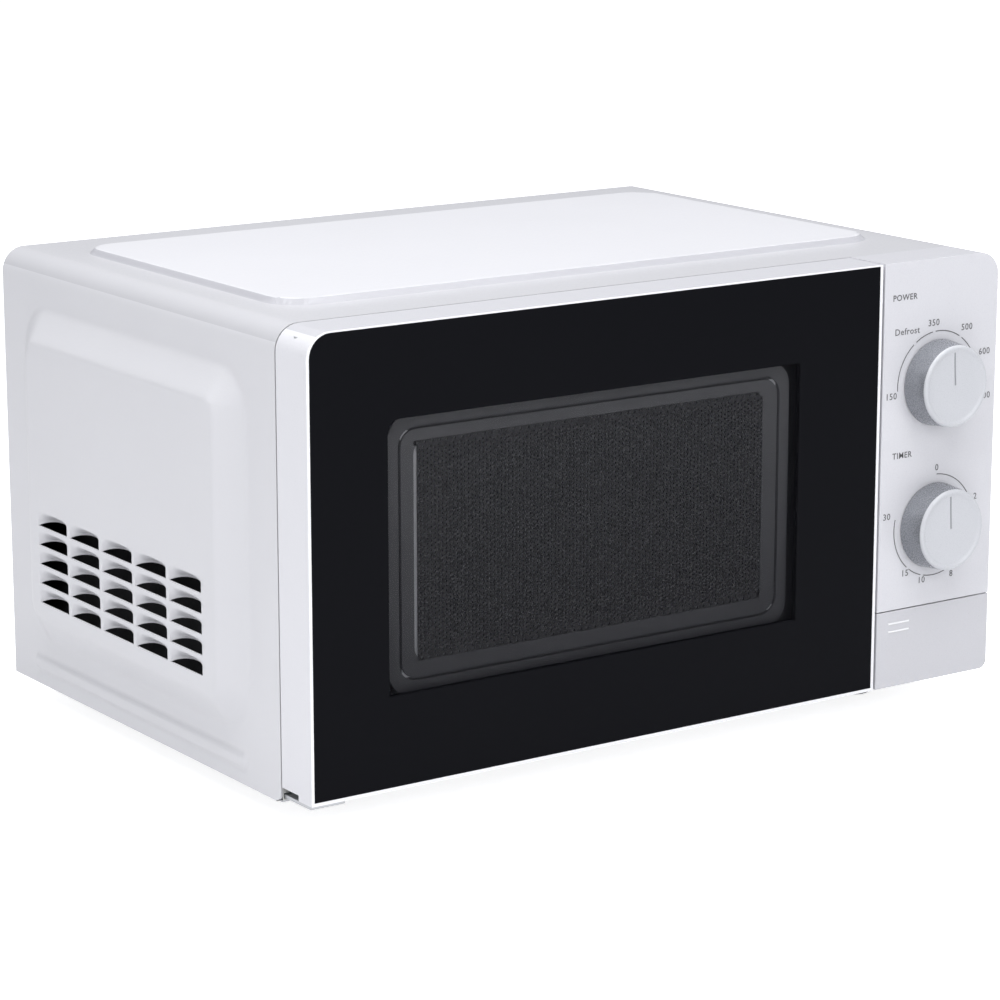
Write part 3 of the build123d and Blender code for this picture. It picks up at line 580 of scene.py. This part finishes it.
def makeCover():
    look = coverLook
    upSide, along, topRun = coverLines()
    clearSelection()
    lineCount = len(upSide) + 10 + len(topRun)
    bpy.ops.mesh.primitive_grid_add(x_subdivisions=lineCount - 1, y_subdivisions=len(along) - 1, size=1)
    piece = bpy.context.object
    piece.name = piece.data.name = "cabinetCover"
    settle(piece)
    for point in piece.data.vertices:
        line = round((point.co.x + 0.5) * (lineCount - 1))
        y = along[round((point.co.y + 0.5) * (len(along) - 1))]
        x, z, outX, outZ = sectionPoint(line, upSide, topRun)
        rise = 0
        if outZ == 0:
            rise = sideRise(y, z)
            z, sunk = hoodPoint(y, z)
            rise -= sunk
        elif outX == 0:
            x, y = snapToPlate(x, y)
            rise = look["plateRise"] * rampStep(insidePlate(x, y) / look["plateSlope"])
        if y == along[0] and z < look["bottom"] + look["footCorner"]:
            drop = look["bottom"] + look["footCorner"] - z
            y += look["footCorner"] - math.sqrt(look["footCorner"] ** 2 - drop ** 2)
        point.co = mm(x + outX * rise, y, z + outZ * rise)
    chooseFaces(piece, lambda middle, normal: middle.x < 5 - look["halfWidth"] and isOpen(middle.y, middle.z))
    bpy.ops.mesh.delete(type="FACE")
    bpy.ops.object.mode_set(mode="OBJECT")
    fold = piece.modifiers.new("mirror", "MIRROR")
    fold.use_axis[0] = True
    fold.merge_threshold = 0.0001
    bpy.ops.object.modifier_apply(modifier=fold.name)
    chooseFaces(piece, lambda middle, normal: True)
    bpy.ops.mesh.normals_make_consistent(inside=False)
    bpy.ops.object.mode_set(mode="OBJECT")
    upward = [face for face in piece.data.polygons if face.center.z > mm(look["top"] + 2)]
    if upward[0].normal.z < 0:
        chooseFaces(piece, lambda middle, normal: True)
        bpy.ops.mesh.flip_normals()
        bpy.ops.object.mode_set(mode="OBJECT")
    piece.data.materials.append(whitePaint)
    middleY, halfY = sum(look["plateY"]) / 2, (look["plateY"][1] - look["plateY"][0]) / 2
    plateTop, flatSlack = look["top"] + look["plateRise"], 0.15
    # painted shade: the plate's sloping edge gets the darker copy of the white paint
    paintFaces(piece, plateSlopeShade, lambda middle, normal: normal.z < 0.95
               and abs(middle.y - middleY) < halfY + 1
               and look["top"] + flatSlack < middle.z < plateTop - flatSlack)
    # painted shade: the roof outside the plate and the top of the fold get the greyer copy of the white paint
    paintFaces(piece, roofShadePaint, lambda middle, normal: normal.z > 0.3 and middle.z > 240
               and insidePlate(middle.x, middle.y) < 0)
    # painted light: the top of the plate gets the lighter copy of the white paint
    paintFaces(piece, plateLitPaint, lambda middle, normal: middle.z > plateTop - 0.2)
    # painted shade: the inner side of the folded sheet gets the near-black sheet
    outerMaterials = len(piece.data.materials)
    for count in range(outerMaterials):
        piece.data.materials.append(shadeSheet)
    thick = piece.modifiers.new("thick", "SOLIDIFY")
    thick.thickness, thick.offset = mm(look["sheet"]), -1
    thick.material_offset = outerMaterials  # painted shade: the inner face of the sheet is near black, so that the louvre mouths look dark
    bpy.ops.object.modifier_apply(modifier=thick.name)
    bpy.ops.object.shade_smooth_by_angle(angle=math.radians(50))
    giveTo(piece, "cabinet", ["outer_cover"])


makeCover()
print("cabinet cover made")

# door

doorLook = {
    "x": (-220, 137.8), "y": (-153, -125), "z": (20.5, 255), "cornerRadius": 13,
    "glassX": (-218.4, 136), "glassZ": (22.2, 254.1), "glassThickness": 3.2,
    "windowX": (-174.5, 82), "windowZ": (69, 208),
    "openingX": (-202, 120), "openingZ": (38, 238), "ledgeBack": -141,
    "backRimX": (-204, 135.8), "backRimZ": (24, 253), "frameEdge": 0.45, "glassEdge": 0.3,
    "armRoom": ((-217.6, -146, 243.3), (-203, -124, 246.7)),
    "hingeNotch": ((-221, -140.5, 19.5), (-197, -124, 23.5)),
}


def insetTo(piece, low, high):
    # insets the selected face and fits the new inner face to a span
    bpy.ops.mesh.inset(thickness=mm(1))
    fitSelection(piece, low, high)


def makeDoorFrame():
    look = doorLook
    (left, right), (front, back), (low, high) = look["x"], look["y"], look["z"]
    piece = startBox("doorFrame", (left, front, low), (right, back, high))
    roundEdges(piece, lambda a, b: near(a.x, left) and near(b.x, left) and near(a.z, high)
               and near(b.z, high), look["cornerRadius"])
    chooseFaces(piece, lambda middle, normal: normal.y < -0.9)
    insetTo(piece, (look["glassX"][0], None, look["glassZ"][0]), (look["glassX"][1], None, look["glassZ"][1]))
    bpy.ops.mesh.extrude_region_move(TRANSFORM_OT_translate={"value": mm(0, look["glassThickness"], 0)})
    insetTo(piece, (look["openingX"][0], None, look["openingZ"][0]),
            (look["openingX"][1], None, look["openingZ"][1]))
    bpy.ops.mesh.extrude_region_move(
        TRANSFORM_OT_translate={"value": mm(0, look["ledgeBack"] - front - look["glassThickness"], 0)})
    bpy.ops.mesh.delete(type="FACE")
    chooseFaces(piece, lambda middle, normal: normal.y > 0.9 and near(middle.y, back))
    insetTo(piece, (look["backRimX"][0], None, look["backRimZ"][0]),
            (look["backRimX"][1], None, look["backRimZ"][1]))
    bpy.ops.mesh.extrude_region_move(TRANSFORM_OT_translate={"value": mm(0, look["ledgeBack"] - back, 0)})
    insetTo(piece, (look["openingX"][0], None, look["openingZ"][0]),
            (look["openingX"][1], None, look["openingZ"][1]))
    bpy.ops.mesh.delete(type="FACE")
    chooseEdges(piece, lambda a, b: True)
    bpy.ops.mesh.remove_doubles(threshold=0.00005)
    bpy.ops.object.mode_set(mode="OBJECT")
    for room in ("armRoom", "hingeNotch"):
        cutWith(piece, startBox(room, *look[room]))
    piece.data.materials.append(sidePlastic)
    softEdges(piece, look["frameEdge"])
    # painted shade: the top faces of the door frame get the darker copy of the white plastic
    paintFaces(piece, topShadePlastic, lambda middle, normal: normal.z > 0.8)
    # painted highlight: the front lip of the door frame gets the lighter copy of the white plastic
    paintFaces(piece, lipHighlightPlastic, lambda middle, normal: middle.y < front + 0.5)
    # painted shade: the back rim of the door is near black, for the shade in the gap round the closed door
    paintFaces(piece, shadeSheet, lambda middle, normal: middle.y > back - 0.6)
    giveTo(piece, "door", ["door_frame"])


def makeDoorGlass():
    look = doorLook
    front, back = look["y"][0], look["y"][0] + look["glassThickness"]
    piece = startBox("doorGlass", (look["glassX"][0], front, look["glassZ"][0]),
                     (look["glassX"][1], back, look["glassZ"][1]))
    left, high = look["glassX"][0], look["glassZ"][1]
    roundEdges(piece, lambda a, b: near(a.x, left) and near(b.x, left) and near(a.z, high)
               and near(b.z, high), look["cornerRadius"] - 1.6)
    piece.data.materials.append(blackPrint)
    piece.data.materials.append(tintedWindow)
    for side in (-1, 1):
        chooseFaces(piece, lambda middle, normal: normal.y * side > 0.9)
        insetTo(piece, (look["windowX"][0], None, look["windowZ"][0]),
                (look["windowX"][1], None, look["windowZ"][1]))
        piece.active_material_index = 1
        bpy.ops.object.material_slot_assign()
    bpy.ops.object.mode_set(mode="OBJECT")
    softEdges(piece, look["glassEdge"])
    giveTo(piece, "door", ["door_glass"])


makeDoorFrame()
makeDoorGlass()
print("door frame and glass made")


# perforated screen behind the glass

screenLook = {
    "x": (-171.5, 79), "z": (67, 208.5), "front": -148, "back": -136.2, "cornerRadius": 12,
    "grooveX": (-165.6, 72.7), "grooveZ": (73.2, 202.3), "grooveWidth": 1.7, "grooveDepth": 1.6,
    "grooveEdge": 0.4,
    "columnPitch": 2.2, "rowPitch": 2.4, "columns": 98, "rows": 44, "holeRadius": 0.66,
    "fieldLow": (-154.3, 85.5), "fieldGap": 0.1, "thickness": 0.5,
}


def holeTile(name, width, height, hole):
    # a flat tile facing the front with a six-sided hole, its low left corner at the origin
    clearSelection()
    bpy.ops.mesh.primitive_plane_add(size=1)
    tile = bpy.context.object
    tile.scale = mm(width, height, 1000)
    settle(tile)
    if hole:
        bpy.ops.object.mode_set(mode="EDIT")
        bpy.ops.mesh.delete(type="ONLY_FACE")
        bpy.ops.mesh.primitive_circle_add(vertices=6, radius=mm(hole))
        bpy.ops.mesh.select_all(action="SELECT")
        bpy.ops.mesh.bridge_edge_loops()
        bpy.ops.object.mode_set(mode="OBJECT")
    tile.name = tile.data.name = name
    tile.location = mm(width / 2, 0, height / 2)
    tile.rotation_euler = (math.pi / 2, 0, 0)
    return settle(tile)


def repeatTile(tile, across, up, stepX, stepZ, place):
    makeActive(tile)
    for count, offset in ((up, (0, 0, mm(stepZ))), (across, (mm(stepX), 0, 0))):
        row = tile.modifiers.new("row", "ARRAY")
        row.use_relative_offset, row.use_constant_offset = False, True
        row.count, row.constant_offset_displace = count, offset
        row.use_merge_vertices, row.merge_threshold = True, 0.00002
        bpy.ops.object.modifier_apply(modifier=row.name)
    tile.location = mm(place[0], screenLook["front"], place[1])
    return settle(tile)


def makePerforation():
    look = screenLook
    wide, tall, hole = look["columnPitch"], look["rowPitch"], look["holeRadius"]
    left, low = look["fieldLow"]
    pairs, half = look["columns"] // 2, look["rowPitch"] / 2
    high = low + look["rows"] * tall + half
    parts = [
        repeatTile(holeTile("even", wide, tall, hole), pairs, look["rows"], 2 * wide, tall, (left, low)),
        repeatTile(holeTile("odd", wide, tall, hole), pairs, look["rows"], 2 * wide, tall,
                   (left + wide, low + half)),
        repeatTile(holeTile("evenTop", wide, half, 0), pairs, 1, 2 * wide, half, (left, high - half)),
        repeatTile(holeTile("oddFoot", wide, half, 0), pairs, 1, 2 * wide, half, (left + wide, low)),
        repeatTile(holeTile("upperRow", 2 * wide, tall, hole), pairs, 1, 2 * wide, tall, (left - wide, high)),
        repeatTile(holeTile("lowerRow", 2 * wide, tall, hole), pairs, 1, 2 * wide, tall,
                   (left, low - tall)),
    ]
    return joinPieces("perforation", parts), (left, left + look["columns"] * wide), (low - tall, high + tall)


def makeScreen():
    look = screenLook
    sheet, fieldX, fieldZ = makePerforation()
    pan = startBox("doorScreen", (look["x"][0], look["front"], look["z"][0]),
                   (look["x"][1], look["back"], look["z"][1]))
    roundEdges(pan, lambda a, b: near(a.x, b.x) and near(a.z, b.z), look["cornerRadius"])
    chooseFaces(pan, lambda middle, normal: normal.y > 0.9)
    bpy.ops.mesh.delete(type="FACE")
    chooseFaces(pan, lambda middle, normal: normal.y < -0.9)
    insetTo(pan, (look["grooveX"][0], None, look["grooveZ"][0]),
            (look["grooveX"][1], None, look["grooveZ"][1]))
    bpy.ops.mesh.inset(thickness=mm(look["grooveEdge"]), depth=-mm(look["grooveDepth"]))
    bpy.ops.mesh.inset(thickness=mm(look["grooveWidth"] - 2 * look["grooveEdge"]))
    bpy.ops.mesh.inset(thickness=mm(look["grooveEdge"]), depth=mm(look["grooveDepth"]))
    insetTo(pan, (fieldX[0] - look["columnPitch"], None, fieldZ[0] - look["fieldGap"]),
            (fieldX[1] + look["fieldGap"], None, fieldZ[1] + look["fieldGap"]))
    bpy.ops.mesh.delete(type="FACE")
    bpy.ops.object.mode_set(mode="OBJECT")
    pan.data.materials.append(screenPaint)
    sheet.data.materials.append(fieldPaint)
    piece = joinPieces("doorScreen", [pan, sheet])
    thick = piece.modifiers.new("thick", "SOLIDIFY")
    thick.thickness, thick.offset = mm(look["thickness"]), -1
    bpy.ops.object.modifier_apply(modifier=thick.name)
    bpy.ops.object.shade_smooth_by_angle(angle=math.radians(40))
    giveTo(piece, "door", ["door_screen"])


makeScreen()
print("door screen made")

# dials, their printed scales and the panel

dialLook = {
    "x": 178, "back": -153.5, "front": -168.6, "radius": 23.7, "frontRadius": 22.2, "rim": 1.3, "sides": 128,
    "dishSteps": ((0.6, 0), (0.5, 0.2), (0.6, 0.35), (0.6, 0.15), (3.6, 0.12), (5, 0.08)), "dishDepth": 0.9,
    "pointerWidth": 0.75, "pointerReach": (0.6, 18.6), "pointerTurn": 3.5, "pointerGap": 0.12,
    "slotDepth": 0.2, "inkDepth": 0.05, "cutFront": 0.5, "inkThickness": 0.15,
    "backRim": 2.6, "backDepth": 4, "powerZ": 187.2, "timerZ": 108,
}
printLook = {
    "y": -153.06, "lineWidth": 0.5, "numberSize": 5.0, "headSize": 4.6, "spacing": 1.12,
    "numberWeight": 0.03, "headWeight": 0.06, "thickness": 0.03, "arcStep": 3,
    "arcRadius": 28.2,
    "powerArcs": [(-94, -38), (-34, -8.5), (-4.5, 32), (36, 67), (71, 106)],
    "timerArcs": [(3, 62), (68, 112), (118, 153), (159, 193), (197, 217), (221, 283)],
    "powerWords": [("150", -32.6, -4.6), ("Defrost", -22.3, 30), ("350", -3.6, 32.8), ("500", 20.2, 28.2),
                   ("600", 33.4, 13.4), ("700", 34.6, -11.3)],
    "timerWords": [("0", 1.4, 31.7), ("2", 30, 12), ("5", 27.5, -14), ("8", 14, -29.5), ("10", -7.6, -30.1),
                   ("15", -19.6, -24.6), ("30", -33.6, 8.5)],
    "powerHead": ("POWER", -24.4, 48.6), "timerHead": ("TIMER", -23.8, 41.5),
}


def startPointer(name, z, gap, depth):
    # a bar along the dial's pointer line, from in front of the dished face to a depth behind it
    look = dialLook
    half, face = look["pointerWidth"] / 2 + gap, look["front"] + look["dishDepth"]
    low, high = look["pointerReach"]
    bar = startBox(name + "Pointer", (-half, face - look["cutFront"], low), (half, face + depth, high))
    bar.rotation_euler = (0, math.radians(-look["pointerTurn"]), 0)
    bar.location = mm(look["x"], 0, z)
    return settle(bar)


def makeDial(name, node, body, z):
    look = dialLook
    length = look["back"] - look["front"]
    piece = startRound(name, (look["x"], (look["back"] + look["front"]) / 2, z), look["radius"], length,
                       look["sides"])
    chooseFaces(piece, lambda middle, normal: normal.y < -0.9)
    shrink = look["frontRadius"] / look["radius"]
    bpy.ops.transform.resize(value=(shrink, 1, shrink), center_override=mm(look["x"], look["front"], z))
    bpy.ops.object.mode_set(mode="OBJECT")
    roundEdges(piece, lambda a, b: near(a.y, look["front"]) and near(b.y, look["front"]), look["rim"], 6)
    chooseFaces(piece, lambda middle, normal: normal.y < -0.9999 and near(middle.y, look["front"], 0.01))
    for thickness, depth in look["dishSteps"]:
        bpy.ops.mesh.inset(thickness=mm(thickness), depth=-mm(depth))
    chooseFaces(piece, lambda middle, normal: normal.y > 0.9999)
    bpy.ops.mesh.inset(thickness=mm(look["backRim"]))
    bpy.ops.mesh.extrude_region_move(TRANSFORM_OT_translate={"value": mm(0, -look["backDepth"], 0)})
    bpy.ops.object.mode_set(mode="OBJECT")
    piece.data.materials.append(dialPlastic)
    paintFaces(piece, dialSide, lambda middle, normal: normal.y > -0.2)
    bpy.ops.object.shade_smooth_by_angle(angle=math.radians(50))
    cutWith(piece, startPointer(name, z, look["pointerGap"], look["slotDepth"]))
    bar = startPointer(name, z, 0, look["inkDepth"])
    chooseFaces(bar, lambda middle, normal: normal.y < -0.9)
    bpy.ops.transform.translate(value=mm(0, look["cutFront"] + look["inkDepth"] - look["inkThickness"], 0))
    bpy.ops.object.mode_set(mode="OBJECT")
    bar.data.materials.append(pointerInk)
    piece = joinPieces(name, [piece, bar])
    giveTo(piece, body, [node])


def printWord(word, x, z, size, heavy):
    clearSelection()
    bpy.ops.object.text_add()
    text = bpy.context.object
    text.data.body, text.data.size = word, mm(size)
    text.data.align_x, text.data.align_y = "CENTER", "CENTER"
    text.data.extrude, text.data.offset = mm(printLook["thickness"]), mm(heavy)
    text.data.resolution_u, text.data.space_character = 3, printLook["spacing"]
    bpy.ops.object.convert(target="MESH")
    text = bpy.context.object
    text.rotation_euler = (math.pi / 2, 0, 0)
    text.location = mm(x, printLook["y"], z)
    return settle(text)


def printArc(centreZ, radius, start, end):
    # a flat line of ink spun round the dial's axis, angles clockwise from straight up
    clearSelection()
    bpy.ops.mesh.primitive_plane_add(size=1)
    arc = bpy.context.object
    arc.scale = mm(printLook["lineWidth"], 2 * printLook["thickness"], 1000)
    arc.rotation_euler = (0, math.pi / 2, 0)
    arc.location = mm(0, 0, radius)
    settle(arc)
    arc.rotation_euler = (0, math.radians(start), 0)
    arc.location = mm(dialLook["x"], printLook["y"], centreZ)
    settle(arc)
    bpy.ops.object.mode_set(mode="EDIT")
    bpy.ops.mesh.select_all(action="SELECT")
    steps = max(6, round((end - start) / printLook["arcStep"]))
    bpy.ops.mesh.spin(steps=steps, angle=math.radians(end - start),
                      center=mm(dialLook["x"], printLook["y"], centreZ), axis=(0, -1, 0))
    bpy.ops.mesh.select_all(action="SELECT")
    bpy.ops.mesh.normals_make_consistent(inside=False)
    bpy.ops.object.mode_set(mode="OBJECT")
    return arc


def makeScale(name, centreZ, arcs, words, head):
    look = printLook
    parts = [printArc(centreZ, look["arcRadius"], start, end) for start, end in arcs]
    parts += [printWord(word, dialLook["x"] + x, centreZ + z, look["numberSize"], look["numberWeight"])
              for word, x, z in words]
    parts.append(printWord(head[0], dialLook["x"] + head[1], centreZ + head[2], look["headSize"],
                           look["headWeight"]))
    piece = joinPieces(name, parts)
    piece.data.materials.clear()
    piece.data.materials.append(greyInk)
    giveTo(piece, "cabinet", [])


def reworkedCopy(node, name, width, material):
    # a merged copy of a CAD piece, with a small radius on its edges
    clearSelection()
    nodes[node].select_set(True)
    bpy.context.view_layer.objects.active = nodes[node]
    bpy.ops.object.duplicate()
    piece = bpy.context.object
    piece.name = piece.data.name = name
    bpy.ops.object.parent_clear(type="CLEAR_KEEP_TRANSFORM")
    settle(piece)
    bpy.ops.object.mode_set(mode="EDIT")
    bpy.ops.mesh.select_all(action="SELECT")
    bpy.ops.mesh.remove_doubles(threshold=0.00001)
    bpy.ops.mesh.dissolve_limited(angle_limit=math.radians(1))
    bpy.ops.object.mode_set(mode="OBJECT")
    piece.data.materials.clear()
    piece.data.materials.append(material)
    softEdges(piece, width)
    return piece


for kind in ("power", "timer"):
    makeDial(kind + "Dial", kind + "_knob", kind + "_dial", dialLook[kind + "Z"])
for kind in ("power", "timer"):
    makeScale(kind + "Scale", dialLook[kind + "Z"], printLook[kind + "Arcs"], printLook[kind + "Words"],
              printLook[kind + "Head"])
panelFascia = reworkedCopy("control_panel", "panelFascia", 0.5, whitePlastic)
# painted shade: the top of the panel gets the darker copy of the white plastic
paintFaces(panelFascia, topShadePlastic, lambda middle, normal: normal.z > 0.8 and middle.z > 250)
giveTo(panelFascia, "cabinet", ["control_panel"])
openButton = reworkedCopy("release_button", "openButton", 0.5, buttonPlastic)
paintFaces(openButton, buttonMark, lambda middle, normal: middle.y < -153.05)
giveTo(openButton, "button", ["release_button"])
print("dials, scales, panel and button made")

# pieces seen through the open door and underneath, softened from the CAD

softened = {
    "cavity": ("ovenLiner", "cabinet", 0.45, cavityPaint, "grey_paint"),
    "front_plate": ("frontPlate", "cabinet", 0.3, cavityPaint, "grey_paint"),
    "feet": ("feetSet", "cabinet", 0.9, rubberFoot, "rubber"),
    "cord_gland": ("cordGland", "cabinet", 0.5, blackPlastic, "black_plastic"),
    "cover_screws": ("coverScrews", "cabinet", 0.35, springSteel, "zinc_steel"),
    "lower_hinge": ("lowerHinge", "cabinet", 0.3, zincSteel, "zinc_steel"),
    "upper_hinge": ("upperHinge", "cabinet", 0.3, zincSteel, "zinc_steel"),
    "choke_cover": ("chokeCover", "door", 0.6, blackPlastic, "black_plastic"),
    "door_latch": ("doorLatch", "latch", 0.5, blackPlastic, "black_plastic"),
    "glass_turntable": ("glassPlate", "plate", 0.9, clearGlass, "clear_glass"),
    "roller_ring": ("rollerRing", "ring", 0.6, innerPlastic, "inner_plastic"),
    "turntable_hub": ("turntableHub", "hub", 0.5, innerPlastic, "inner_plastic"),
}
for node, (name, body, width, material, slotName) in softened.items():
    piece = reworkedCopy(node, name, width, material)
    if node == "cavity":
        # painted shade: the outside of the liner is near black, so that the louvre mouths look dark
        paintFaces(piece, shadeSheet, lambda middle, normal: middle.x < -205.4 or middle.x > 105.4
                   or middle.y > 157.4 or middle.z < 33.6 or middle.z > 236.4)
    giveTo(piece, body, [node])
print("liner, turntable and fittings made")

# finishes for the CAD pieces that keep their shape

finishes = (
    (zincSteel, ("base_plate", "rear_panel", "turntable_motor", "waveguide", "magnetron_body",
                 "capacitor_strap")),
    (springSteel, ("foot_screws", "hinge_screws", "button_spring", "latch_spring", "magnetron_antenna",
                   "power_shaft", "timer_shaft")),
    (innerPlastic, ("power_switch", "timer_unit", "interlock_bracket", "fan_shroud", "air_duct",
                    "lamp_socket", "release_lever", "roller_1", "roller_2", "roller_3")),
    (blackPlastic, ("door_switches", "hv_diode", "thermal_cutout", "noise_filter", "latch_guides",
                    "fan_blade")),
    (castAluminium, ("magnetron_fins", "hv_capacitor")),
    (coreSheets, ("transformer_core", "fan_motor")),
    (copperWire, ("transformer_windings",)),
    (micaSheet, ("waveguide_cover",)),
    (clearGlass, ("lamp_bulb",)),
    (milkyFilm, ("inner_window",)),
)
for material, names in finishes:
    for name in names:
        node = nodes[name]
        node.data.materials.clear()
        node.data.materials.append(material)
print("finishes given")

# floor, light and camera

stageLook = {
    "floorSize": 9000, "world": (0.92, 0.94, 1.0), "worldStrength": 0.36, "floorGlow": (0.08, 0.8),
    "cameraPlace": (-1049.3, -1520.2, 546.9), "cameraTurn": (76.870, 0.028, -34.534), "lens": 123.71,
    "lights": {  # place, aim, size and power
        "topSoft": ((-200, -300, 1900), (0, 0, 100), (2200, 1800), 46),
        "frontSoft": ((500, -2300, 1000), (0, -100, 140), (1600, 1400), 13),
        "leftSoft": ((-2200, -200, 900), (-200, 0, 140), (1500, 1300), 1),
        "keySoft": ((-1300, -900, 1400), (-220, 0, 140), (450, 450), 8),
    },
}


def makeFloor():
    clearSelection()
    bpy.ops.mesh.primitive_plane_add(size=mm(stageLook["floorSize"]))
    floor = bpy.context.object
    floor.name = "floor"
    paleFloor = finish("paleFloor", (0.86, 0.86, 0.87), (0.84, 0.84, 0.85), (0.6, 0.7), 40, 0.02,
                       Emission_Color=(1, 1, 1, 1))
    tree = paleFloor.node_tree
    seen = tree.nodes.new("ShaderNodeLightPath")
    glow = tree.nodes.new("ShaderNodeMapRange")
    glow.inputs["To Min"].default_value, glow.inputs["To Max"].default_value = stageLook["floorGlow"]
    tree.links.new(seen.outputs["Is Camera Ray"], glow.inputs["Value"])
    tree.links.new(glow.outputs["Result"], tree.nodes["Principled BSDF"].inputs["Emission Strength"])
    floor.data.materials.append(paleFloor)


def softLight(name, place, aim, size, power):
    data = bpy.data.lights.new(name, "AREA")
    data.shape, data.size, data.size_y, data.energy = "RECTANGLE", mm(size[0]), mm(size[1]), power
    light = bpy.data.objects.new(name, data)
    bpy.context.scene.collection.objects.link(light)
    light.location = mm(*place)
    toward = light.location.copy()
    toward.x, toward.y, toward.z = (mm(a) - b for a, b in zip(aim, light.location))
    light.rotation_euler = toward.to_track_quat("-Z", "Y").to_euler()


def makeStage():
    makeFloor()
    for name, (place, aim, size, power) in stageLook["lights"].items():
        softLight(name, place, aim, size, power)
    world = bpy.data.worlds.new("paleRoom")
    world.use_nodes = True
    background = world.node_tree.nodes["Background"]
    background.inputs["Color"].default_value = (*stageLook["world"], 1)
    background.inputs["Strength"].default_value = stageLook["worldStrength"]
    bpy.context.scene.world = world
    cameraData = bpy.data.cameras.new("camera")
    cameraData.lens, cameraData.sensor_width = stageLook["lens"], 36
    camera = bpy.data.objects.new("camera", cameraData)
    bpy.context.scene.collection.objects.link(camera)
    camera.location = mm(*stageLook["cameraPlace"])
    camera.rotation_euler = [math.radians(angle) for angle in stageLook["cameraTurn"]]
    bpy.context.scene.camera = camera


makeStage()
bpy.context.scene.view_settings.view_transform = "Standard"
print("stage made")

clearSelection()
